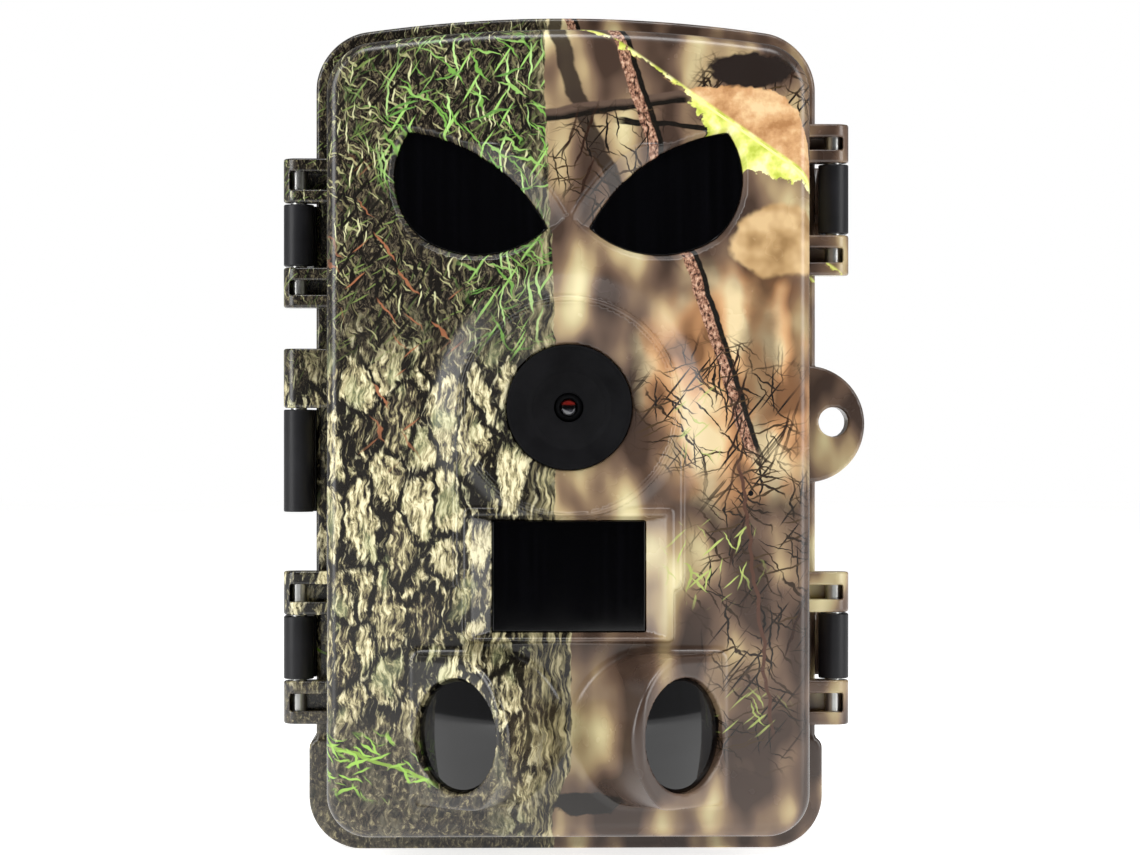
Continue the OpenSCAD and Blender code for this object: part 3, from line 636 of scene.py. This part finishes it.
def moss(g, plain, loose, base):
    u, v = g.print_parts
    ragged = g.noise(plain, 6.0, 3.0, seed=2.0) - 0.5
    threads = g.noise(loose, 0.9, 5.0, 0.72, 1.4, (1.3, 0.7, 1), 3.0)
    tangle = g.ramp(threads, (0.45, BLACK), (0.51, SHADE), (0.57, UMBER), (0.63, OLIVE), (0.70, KHAKI),
                    (0.80, STRAW))
    cover = g.step(v + ragged * 26, 84, 98) * g.step(u + ragged * 8, -2.5, -8.0)
    colour = g.mix(cover, base, tangle)
    for k, (turn, length, width, crowding, code) in enumerate((
            (1.9, 1.7, 0.18, 0.24, "6c6848"), (1.1, 2.1, 0.17, 0.23, "47512e"), (2.5, 1.9, 0.17, 0.22, "94926a"),
            (0.5, 2.1, 0.16, 0.21, "667540"), (1.5, 2.1, 0.17, 0.20, "c0bf94"))):
        mask = g.strokes(loose, turn, length, width, crowding, k * 3.7)
        colour = g.mix(mask * cover, colour, tint(code))
    dark = g.math("MAXIMUM", g.strokes(loose, 1.75, 2.4, 0.34, 0.33, 40.0),
                  g.strokes(loose, 0.9, 2.6, 0.34, 0.31, 44.0))
    colour = g.mix(dark * cover, colour, BLACK)
    bright = g.blob(plain, (-17, 129), (18, 17), 1.0, 6.0, 0.3)
    green = g.math("MAXIMUM", bright, g.blob(plain, (-10, 102), (8, 13), 1.0, 5.0, 0.3) * 0.75)
    for k, (turn, length, crowding) in enumerate((
            (1.0, 3.8, 0.25), (2.2, 3.4, 0.25), (1.6, 3.8, 0.23), (0.3, 3.0, 0.22), (2.75, 3.2, 0.22))):
        leaf = tint(("93bd66", "6c9a45", "a9cc80", "5c8640", "86ad5c")[k])
        colour = g.mix(g.strokes(loose, turn, length, 0.23, crowding, 50.0 + k * 3.1) * green, colour, leaf)
    rust = g.blob(plain, (-31, 96), (12, 24), 1.0, 6.0, 0.3)
    mask = g.math("MAXIMUM", g.strokes(loose, 2.2, 3.2, 0.24, 0.17, 70.0),
                  g.strokes(loose, 0.7, 2.4, 0.2, 0.15, 75.0))
    return g.mix(mask * rust, colour, tint("8f5c40"))


def low_sprig(g, plain, loose, colour):
    """Dark earth and a bright green sprig at the lower left."""
    u, v = g.print_parts
    ragged = g.noise(plain, 5.0, 3.0, seed=5.0) - 0.5
    dark = g.step(v + ragged * 14, 26, 18) * g.step(u, -5, -15)
    earth = g.ramp(g.noise(loose, 1.1, 5.0, 0.7, 0.6, (1.2, 0.8, 1), 8.0), (0.40, BLACK), (0.48, SHADE),
                   (0.56, UMBER), (0.66, KHAKI), (0.8, STRAW))
    colour = g.mix(dark * 0.92, colour, earth)
    stem = v - 20.5 + (u + 42) * 0.33 + ragged * 2
    colour = g.mix(g.step(abs(stem), 0.40, 0.2) * g.step(u, -22, -25), colour, tint("7c9c3c"))
    zone = g.blob(plain, (-34, 17), (10, 5.5), 0.8, 3.0, 0.25)
    for k, turn in enumerate((0.35, -0.95, -0.35)):
        mask = g.strokes(loose, turn, 2.2, 0.28, 0.27, 80.0 + k * 3.3)
        colour = g.mix(mask * zone, colour, tint("93bd52"))
    return colour


def blurred_wood(g, plain):
    """The soft, out of focus background."""
    u, v = g.print_parts
    tone = g.noise(plain, 7.5, 1.5, 0.4, squeeze=(1, 0.5, 1), seed=1.0) * 0.85
    tone = tone + g.noise(plain, 17.0, 1.0, 0.4, squeeze=(1, 0.5, 1), seed=4.0) * 0.55
    tone = tone - 0.275 + g.step(u, 8, -3) * 0.10 - g.step(v, 30, 12) * 0.03
    colour = g.ramp(tone, (0.34, tint("3b2d25")), (0.42, tint("5d4a3d")), (0.48, tint("7a654f")),
                    (0.54, tint("a08c69")), (0.61, tint("b9ac84")), (0.71, tint("dcd2a4")))
    glow = g.ramp(g.noise(plain, 7.0, 1.5, squeeze=(1, 0.6, 1), seed=2.6), (0.36, tint("6d4b30")),
                  (0.44, tint("a97c54")), (0.51, tint("c59c70")), (0.6, tint("d4c096")))
    colour = g.mix(g.blob(plain, (29, 83), (15, 19), 0.9, 12.0, 0.3) * 0.92, colour, glow)
    shadow = g.blob(plain, (33.5, 88), (3.0, 16), 1.0, 5.0, 0.45)
    return g.mix(shadow * 0.7, colour, tint("4a3a2a"))


def branches(g, plain, colour):
    u, v = g.print_parts
    fall = 144.5 - v
    wave = (g.noise(plain, 3.6, 3.0, squeeze=(0.5, 1, 1), seed=7.0) - 0.5) * 2.0
    dim = abs(u + 1.6 - fall * 0.2045 - fall * fall * 0.00692 + wave)
    colour = g.mix(g.step(dim, 1.8, 1.2) * g.step(v, 102, 108) * 0.94, colour, tint("2c241f"))
    level = v - 130.5 - (u + 4.2) * 0.138 + wave * 0.7
    bough = g.mix(g.step(level, -0.5, 0.4), BLACK, tint("54443a"))
    colour = g.mix(g.step(abs(level), 1.3, 0.95) * g.step(u, 22, 20), colour, bough)
    thin = abs(v - 128.4 + (u - 21) * 0.10 + wave)
    colour = g.mix(g.step(thin, 0.62, 0.4) * g.step(u, 7, 10) * g.step(u, 39, 36), colour, BLACK)
    offset = u - 8.9 - fall * 0.318 + wave * 0.6
    pink = g.ramp(g.noise(plain, 0.7, 3.0, 0.7, squeeze=(1.3, 0.8, 1), seed=2.0), (0.38, tint("241915")),
                  (0.46, tint("6d4a3a")), (0.54, tint("9c7560")), (0.68, tint("c9ab92")))
    reach = g.step(v, 69, 73)
    colour = g.mix(g.step(abs(offset), 1.35, 1.15) * reach, colour, pink)
    return g.mix(g.step(abs(offset - 1.2), 0.6, 0.35) * reach, colour, BLACK)


def twigs(g, plain, loose, colour):
    u, v = g.print_parts
    zone = g.blob(plain, (26, 79), (15, 12), 1.0, 7.0, 0.3)
    for centre, radii in (((33, 50), (11, 24)), ((32, 25), (9, 9)), ((8, 122), (12, 10)), ((33, 134), (11, 8))):
        zone = g.math("MAXIMUM", zone, g.blob(plain, centre, radii, 1.0, 7.0, 0.3))
    for k, (turn, length, width, crowding, code) in enumerate((
            (0.9, 4.2, 0.20, 0.27, "1d150f"), (2.3, 4.2, 0.20, 0.27, "2c2015"), (1.6, 4.6, 0.20, 0.25, "17110c"),
            (0.3, 4.0, 0.19, 0.23, "3c2d1c"), (1.25, 7.0, 0.30, 0.22, "2a1a12"), (2.8, 4.0, 0.20, 0.24, "241a11"))):
        mask = g.strokes(loose, turn, length, width, crowding, 90.0 + k * 3.3)
        colour = g.mix(mask * zone, colour, tint(code))
    green = g.math("MAXIMUM", g.blob(plain, (25, 53), (8, 7), 0.8, 4.0, 0.3),
                   g.blob(plain, (29, 26), (9, 4), 0.8, 4.0, 0.3) * 0.7)
    green = g.math("MAXIMUM", green, g.blob(plain, (23, 77), (4, 7), 0.8, 4.0, 0.3) * 0.8)
    for k, turn in enumerate((0.7, 2.3, 1.3)):
        mask = g.strokes(loose, turn, 2.4, 0.21, 0.20, 120.0 + k * 3.3)
        colour = g.mix(mask * green, colour, tint("a3b062"))
    rib = abs(u - 31.5 - (70 - v) * 0.12 + g.noise(plain, 6.0, 2.0, squeeze=(0.2, 1, 1)) * 3.0)
    return g.mix(g.step(rib, 0.42, 0.22) * g.step(v, 20, 26) * g.step(v, 72, 68), colour, tint("4a3126"))


def leaves(g, plain, colour):
    u, v = g.print_parts
    teeth = (g.noise(plain, 2.2, 3.0, 0.6, seed=1.0) - 0.5) * 5.0
    along = (u - 20.2) * 0.82 - (v - 134.9) * 0.57
    across = (u - 20.2) * 0.57 + (v - 134.9) * 0.82
    arch = g.math("SINE", g.math("MINIMUM", g.math("MAXIMUM", along / 29, 0.0), 1.0) * math.pi)
    tan = g.ramp(g.noise(plain, 5.0, 4.0, 0.6, seed=11.0), (0.36, tint("9c7048")), (0.5, tint("bf9468")),
                 (0.64, tint("d6b88c")))
    colour = g.mix(g.step(arch * 9.0 - across + teeth * 0.5, -0.1, 0.3) * g.step(across, -0.4, 0.1), colour, tan)
    lime = g.ramp(g.noise(plain, 3.0, 3.0, squeeze=(1.1, 1, 1), seed=12.0), (0.36, tint("a9b545")),
                  (0.5, tint("cfd36c")), (0.64, tint("ebe7a6")))
    colour = g.mix(g.step(arch * 5.0 + across + teeth, -0.1, 0.3) * g.step(across, 0.9, 0.3), colour, lime)
    colour = g.mix(g.step(abs(across), 0.28, 0.12) * g.step(arch, 0.02, 0.2), colour, tint("e9dc8e"))
    colour = g.mix(g.blob(plain, (32, 138.5), (7.0, 3.0), 0.9, 3.0, 0.12), colour, tint("211a17"))
    dry = g.ramp(g.noise(plain, 5.5, 2.0, 0.5, seed=6.0), (0.34, tint("8a6c46")), (0.5, tint("a98a60")),
                 (0.64, tint("c2a57a")))
    return g.mix(g.blob(plain, (37.5, 109), (8.6, 6.2), 0.9, 7.0, 0.09), colour, dry)


def camo():
    """Water-transfer print of a trunk with moss, dry leaves, twigs and soft woodland."""
    g = Graph("camo_shell")
    spot, (x, y, z) = g.place()
    spread = g.math("MAXIMUM", y - FACE_Y, 0.0) * 0.012 + 1
    u, v = x * spread, (z - CASE_TOP / 2) * spread + CASE_TOP / 2
    plain = g.warp(g.spot(u, v), (1.0, 1.0, 1.0))
    drift = g.noise(plain, 5.0, 3.0) - 0.5
    loose = g.warp(g.spot(u + drift * 3.2, v + drift * 3.6), (1.0, 1.0, 1.0))
    g.print_parts = g.parts(plain)[:2]
    left = low_sprig(g, plain, loose, moss(g, plain, loose, bark(g, loose)))
    right = leaves(g, plain, twigs(g, plain, loose, branches(g, plain, blurred_wood(g, plain))))
    fallen = g.blob(plain, (2.5, 10.5), (6.5, 2.0), 1.2, 3.0, 0.1)
    colour = g.mix(trunk_edge(g, plain), g.mix(fallen, right, tint("1c1713")), left)
    g.set(Base_Color=colour, Roughness=g.noise(spot, 7.0, 3.0) * 0.12 + 0.20, Specular_IOR_Level=0.5)
    g.bump(g.noise(spot, 0.35, 3.0, 0.6), 0.02, 0.22)
    return g.material


# ---------- the other materials ----------

def plastic(name, code, rough=0.4, grain=0.3, depth=0.02, shine=0.5):
    """Moulded plastic with cloudy tone, uneven gloss and a spark-eroded grain."""
    g = Graph(name)
    spot, _ = g.place()
    tone = tint(code)
    cloud = g.noise(spot, 6.0, 4.0, 0.6)
    scuffs = g.noise(spot, 1.0, 3.0, 0.7, squeeze=(2.4, 0.5, 0.3))
    dim, lit = tuple(c * 0.72 for c in tone), tuple(c * 1.3 + 0.002 for c in tone)
    g.set(Base_Color=g.ramp(cloud, (0.3, dim), (0.7, lit)), Specular_IOR_Level=shine,
          Roughness=cloud * 0.12 + g.step(scuffs, 0.62, 0.72) * 0.12 + (rough - 0.06))
    g.bump(g.noise(spot, grain, 2.0, 0.6), depth, 0.6)
    return g.material


def metal(name, code, rough, stretch):
    """Turned or rolled metal with fine lines; stretch squeezes the grain along each axis."""
    g = Graph(name)
    spot, _ = g.place()
    tone = tint(code)
    lines = g.noise(spot, 0.5, 3.0, 0.6, squeeze=stretch)
    stain = g.noise(spot, 4.0, 3.0)
    g.set(Metallic=1.0, Base_Color=g.ramp(stain, (0.3, tuple(c * 0.7 for c in tone)), (0.6, tone)),
          Roughness=lines * 0.25 + (rough - 0.12))
    g.bump(lines, 0.01, 0.5)
    return g.material


def dark_window():
    """Near-black infrared-pass acrylic with faint moulding lines inside."""
    g = Graph("dark_window")
    spot, _ = g.place()
    lines = g.noise(spot, 1.6, 2.0, 0.6, squeeze=(1.4, 1.0, 0.03))
    g.set(Base_Color=g.ramp(lines, (0.45, tint("030304")), (0.8, tint("060608"))), IOR=1.46,
          Roughness=g.noise(spot, 5.0, 3.0) * 0.04 + 0.035)
    g.bump(g.noise(spot, 9.0, 1.0), 0.02, 0.25)
    return g.material


def glass(name, code, clear):
    g = Graph(name)
    spot, _ = g.place()
    tone = tint(code)
    g.set(Base_Color=g.ramp(g.noise(spot, 2.0), (0.3, tone), (0.7, tuple(min(1, c * 1.2) for c in tone))),
          Transmission_Weight=clear, Roughness=g.noise(spot, 1.5, 3.0) * 0.05 + 0.03, Coat_Weight=0.6)
    return g.material


def lens_painted_reflection():
    """Tiny coated lens: dark, with a painted red reflection of its coating in its upper half and a painted grey
    reflection in its lower half.
    """
    g = Graph("lens_glass")
    spot, (x, _, z) = g.place()
    # painted reflection: the colour follows height on the lens, red above and grey below
    rise = (z - LENS_Z) * 0.32 + 0.5 + (g.noise(spot, 0.8) - 0.5) * 0.1
    ring = g.math("SQRT", x * x + (z - LENS_Z) * (z - LENS_Z))
    colour = g.ramp(rise, (0.08, tint("626266")), (0.3, tint("3c3c42")), (0.44, tint("0a0a0c")),
                    (0.62, tint("0a0909")), (0.74, tint("8a2018")), (0.95, tint("3a0c08")))
    g.set(Base_Color=g.mix(g.step(ring, 1.25, 1.5), colour, BLACK), Coat_Weight=1.0,
          Roughness=g.noise(spot, 0.6) * 0.05 + 0.08)
    return g.material


def board():
    """Solder mask with copper tracks under it and tinned pads."""
    g = Graph("circuit_board")
    spot, (x, _, z) = g.place()
    cells = {"Vector": g.spot(x, z), "Scale": 0.33, "Randomness": 0.7}
    track = g.node("TexVoronoi", cells, "Distance", voronoi_dimensions="2D", feature="F2", distance="MANHATTAN")
    near = g.node("TexVoronoi", cells, "Distance", voronoi_dimensions="2D", distance="MANHATTAN")
    pads = g.node("TexVoronoi", {"Vector": g.spot(x, z), "Scale": 0.5, "Randomness": 0.5}, "Distance",
                  voronoi_dimensions="2D")
    copper = g.step(abs(track - near - 0.3), 0.14, 0.08)
    mask = g.mix(copper, tint("0f3d22"), tint("1d6a3a"))
    pad = g.step(pads, 0.17, 0.13)
    g.set(Base_Color=g.mix(pad, mask, tint("c9c3b4")), Metallic=pad * 0.9, Coat_Weight=0.3,
          Roughness=g.noise(spot, 2.0) * 0.1 + 0.25)
    g.bump(copper + pad, 0.03)
    return g.material


def cell_wrap():
    """Shrink film with plain bands, bare metal at the ends."""
    g = Graph("cell_wrap")
    spot, (_, _, z) = g.place()
    low = box_mm("cells")[0][2]
    along = g.math("MODULO", z - low, 58.0)
    film = g.ramp(along / 50.5, (0.0, tint("c8c8c8")), (0.02, tint("16222e")), (0.66, tint("1d2c3a")),
                  (0.68, tint("b9783c")), (0.93, tint("c98a4c")), (0.975, tint("bdbdbd")))
    seam = g.noise(spot, 1.2, 2.0, squeeze=(1.2, 1.2, 0.05))
    g.set(Base_Color=g.mix(g.step(seam, 0.6, 0.8) * 0.3, film, tint("d8d8d8")), Coat_Weight=0.4,
          Metallic=g.step(abs(along - 24.8), 23.7, 24.0) * 0.8 + 0.1, Roughness=seam * 0.15 + 0.2)
    g.bump(seam, 0.04, 0.5)
    return g.material


def display_glass():
    g = Graph("display_glass")
    spot, _ = g.place()
    smear = g.noise(spot, 12.0, 4.0, 0.6, 1.0)
    g.set(Base_Color=g.ramp(smear, (0.3, tint("0b0d10")), (0.7, tint("14181d"))), Coat_Weight=0.8,
          Roughness=smear * 0.14 + 0.02)
    return g.material


FINISHES = {
    "camo_shell": camo(),
    "black_plastic": plastic("black_plastic", "0e0e12", 0.42, 0.3, 0.02, 0.28),
    "matt_black": plastic("matt_black", "070709", 0.62, 0.22, 0.012, 0.06),
    "grey_plastic": plastic("grey_plastic", "3a3d40", 0.5, 0.35, 0.035),
    "key_plastic": plastic("key_plastic", "7d8084", 0.6, 0.25, 0.012),
    "card_plastic": plastic("card_plastic", "16243f", 0.36, 0.3, 0.015),
    "cell_wrap": cell_wrap(),
    "seal_rubber": plastic("seal_rubber", "2b2b2b", 0.75, 0.4, 0.03),
    "dark_window": dark_window(),
    "display_glass": display_glass(),
    "lens_glass": lens_painted_reflection(),
    "led_epoxy": glass("led_epoxy", "e6ecee", 0.7),
    "steel": metal("steel", "b9b9b6", 0.32, (0.4, 0.4, 6.0)),
    "display_metal": metal("display_metal", "a9abad", 0.38, (5.0, 1.0, 0.4)),
    "brass_insert": metal("brass_insert", "c79a55", 0.3, (1.0, 1.0, 6.0)),
    "circuit_board": board(),
}


# ---------- pieces ----------

COVER_STEP, SHELL_STEP, EAR_STEP = ((0.5, 0.62, 0.28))


def make_cover():
    skins = [skin(cover_field, cover_low + (5, -1, -1), (LUG[0] + LUG_R + 1, COVER_BACK + 1, COVER_TOP + 1),
                  COVER_STEP, 0.42)]
    skins += ear_skins(-1, UPPER_EARS) + ear_skins(-1, MIDDLE_EAR, False) + ear_skins(-1, LOWER_EARS)
    skins += ear_skins(1, HIGH_LATCH) + ear_skins(1, LOW_LATCH)
    cover = object_of("front_moulding", skins, "front_case", FINISHES["camo_shell"])
    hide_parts("front_cover")


def make_shell():
    skins = [skin(shell_field, shell_low - 1, shell_high + 1, SHELL_STEP, 0.5)]
    shell = object_of("rear_moulding", skins, "rear_case", FINISHES["camo_shell"])
    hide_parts("rear_shell")


def make_lens():
    """Bezel with a ridged cone that runs down to the barrel."""
    front = bezel_low[1]
    ridges = 9
    cone = []
    for k in range(ridges + 1):
        t = k / ridges
        cone += [(6.25 - 3.4 * t, 1.75 + 1.8 * t), (6.25 - 3.4 * t - 0.22, 1.75 + 1.8 * t)]
    outline = [(BEZEL_R, 3.7), (BEZEL_R, 0.35), (BEZEL_R - 0.12, 0.1), (BEZEL_R - 0.4, 0.0), (10.1, 0.06),
               (7.7, 1.05), (7.45, 1.05), (7.2, 1.2), (6.55, 1.48), (6.35, 1.6)]
    outline += cone + [(2.58, 3.75), (2.55, 6.0), (BEZEL_R - 2.1, 6.0), (BEZEL_R - 2.1, 3.7), (BEZEL_R, 3.7)]
    bezel = lathe("lens_cone", outline, (0, front, LENS_Z), (0, 1, 0), "front_case",
                  FINISHES["matt_black"])
    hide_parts("lens_bezel")


def make_side_windows():
    """Gently domed discs in the turned facets of the two bosses."""
    bulge, deep, disc_r = 0.75, 1.5, SIDE_R - 0.05
    outline = [(0.0, -bulge)]
    for k in range(1, 13):
        t = k / 12
        outline.append((disc_r * t, -bulge * (1 - t * t)))
    outline += [(disc_r, 1.4), (0.0, 1.4)]
    for side, name in ((-1, "left"), (1, "right")):
        inward = (-side * SLANT, SLANT, 0)
        centre = [FACET[0] * side + inward[0] * deep, FACET[1] + inward[1] * deep, FACET[2]]
        window = lathe("side_window_" + name, outline, centre, inward, "front_case",
                       FINISHES["dark_window"])
        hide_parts("side_pir_window_" + name)


def make_mic_hole_painted_shade():
    """Matt black disc on the face, a painted shade in place of the small microphone hole, which is not cut."""
    # painted shade: a dark disc stands for the shade inside the hole
    ring = [(0.0, -0.03), (0.42, -0.03), (0.52, 0.02), (0.52, 0.5), (0.0, 0.5)]
    lathe("microphone_hole_painted_shade", ring, (MIC_X, FACE_Y, MIC_Z), (0, 1, 0), "front_case",
          FINISHES["matt_black"], 32)


def dress_nodes():
    """Gives each CAD node its finish and softens its edges, but not those of the panel, whose long flat triangles
    would show as dark lines."""
    for name, thing in frame["nodes"].items():
        slot = thing.material_slots[0].material.name.split(".")[0]
        for place in thing.material_slots:
            place.material = FINISHES[slot]
        if name == "inner_frame":
            continue
        weld_points = thing.modifiers.new("Weld", "WELD")
        weld_points.merge_threshold = 1e-6
        soften = thing.modifiers.new("Soften", "BEVEL")
        soften.width, soften.segments, soften.limit_method = 0.22 * MM, 2, "ANGLE"
        soften.angle_limit = math.radians(38)
        thing.modifiers.new("Even", "WEIGHTED_NORMAL")


make_cover()
make_shell()
make_lens()
make_side_windows()
make_mic_hole_painted_shade()
dress_nodes()


# ---------- stage, lights and camera ----------

def stage_material():
    g = Graph("floor_white")
    spot, _ = g.place()
    g.set(Base_Color=g.ramp(g.noise(spot, 90.0, 2.0), (0.3, tint("f4f4f2")), (0.7, tint("fbfbfa"))), Roughness=0.8,
          Emission_Color=(1.0, 1.0, 1.0, 1.0), Emission_Strength=0.75)
    return g.material


def make_floor():
    mesh = bpy.data.meshes.new("floor")
    mesh.from_pydata([(-2.5, -0.62, 0), (2.5, -0.62, 0), (2.5, 3.0, 0), (-2.5, 3.0, 0)], [], [(0, 1, 2, 3)])
    mesh.materials.append(stage_material())
    floor = bpy.data.objects.new("floor", mesh)
    bpy.context.scene.collection.objects.link(floor)


def softbox(name, place, size, power):
    lamp = bpy.data.lights.new(name, "AREA")
    lamp.shape, lamp.size, lamp.size_y, lamp.energy = "RECTANGLE", size[0], size[1], power
    thing = bpy.data.objects.new(name, lamp)
    bpy.context.scene.collection.objects.link(thing)
    thing.location = place
    thing.rotation_euler = (Vector((0, 0, 0.075)) - Vector(place)).to_track_quat("-Z", "Y").to_euler()


def make_world():
    """White to the camera; to everything else bright at the sides and above, dark in front."""
    world = bpy.data.worlds.new("studio")
    bpy.context.scene.world = world
    world.use_nodes = True
    tree = world.node_tree
    tree.nodes.clear()
    new, link = tree.nodes.new, tree.links.new
    coordinate, parts = new("ShaderNodeTexCoord"), new("ShaderNodeSeparateXYZ")
    link(coordinate.outputs["Generated"], parts.inputs[0])
    ahead = new("ShaderNodeMapRange")
    ahead.interpolation_type = "SMOOTHSTEP"
    for key, value in (("From Min", -0.55), ("From Max", -0.97), ("To Min", 0.27), ("To Max", 0.008)):
        ahead.inputs[key].default_value = value
    link(parts.outputs[1], ahead.inputs["Value"])
    seen, glow, mixed = new("ShaderNodeBackground"), new("ShaderNodeBackground"), new("ShaderNodeMixShader")
    link(ahead.outputs[0], glow.inputs["Strength"])
    path, out = new("ShaderNodeLightPath"), new("ShaderNodeOutputWorld")
    seen.inputs["Color"].default_value = glow.inputs["Color"].default_value = (1, 1, 1, 1)
    link(path.outputs["Is Camera Ray"], mixed.inputs[0])
    link(glow.outputs[0], mixed.inputs[1])
    link(seen.outputs[0], mixed.inputs[2])
    link(mixed.outputs[0], out.inputs[0])


def make_camera():
    camera = bpy.data.cameras.new("camera")
    camera.sensor_width, camera.lens = 36.0, 112.2
    thing = bpy.data.objects.new("camera", camera)
    bpy.context.scene.collection.objects.link(thing)
    thing.location = (-0.014, -0.656, 0.076)
    aim = Vector((0.0002, FACE_Y * MM, 0.076))
    thing.rotation_euler = (aim - thing.location).to_track_quat("-Z", "Y").to_euler()
    bpy.context.scene.camera = thing


make_floor()
make_world()
softbox("left_box", (-0.75, -0.45, 0.35), (0.4, 0.7), 5.6)
softbox("right_box", (0.75, -0.45, 0.30), (0.4, 0.7), 4.4)
softbox("top_box", (0.0, -0.35, 0.85), (0.7, 0.3), 5)
make_camera()
bpy.context.scene.view_settings.view_transform = "Standard"
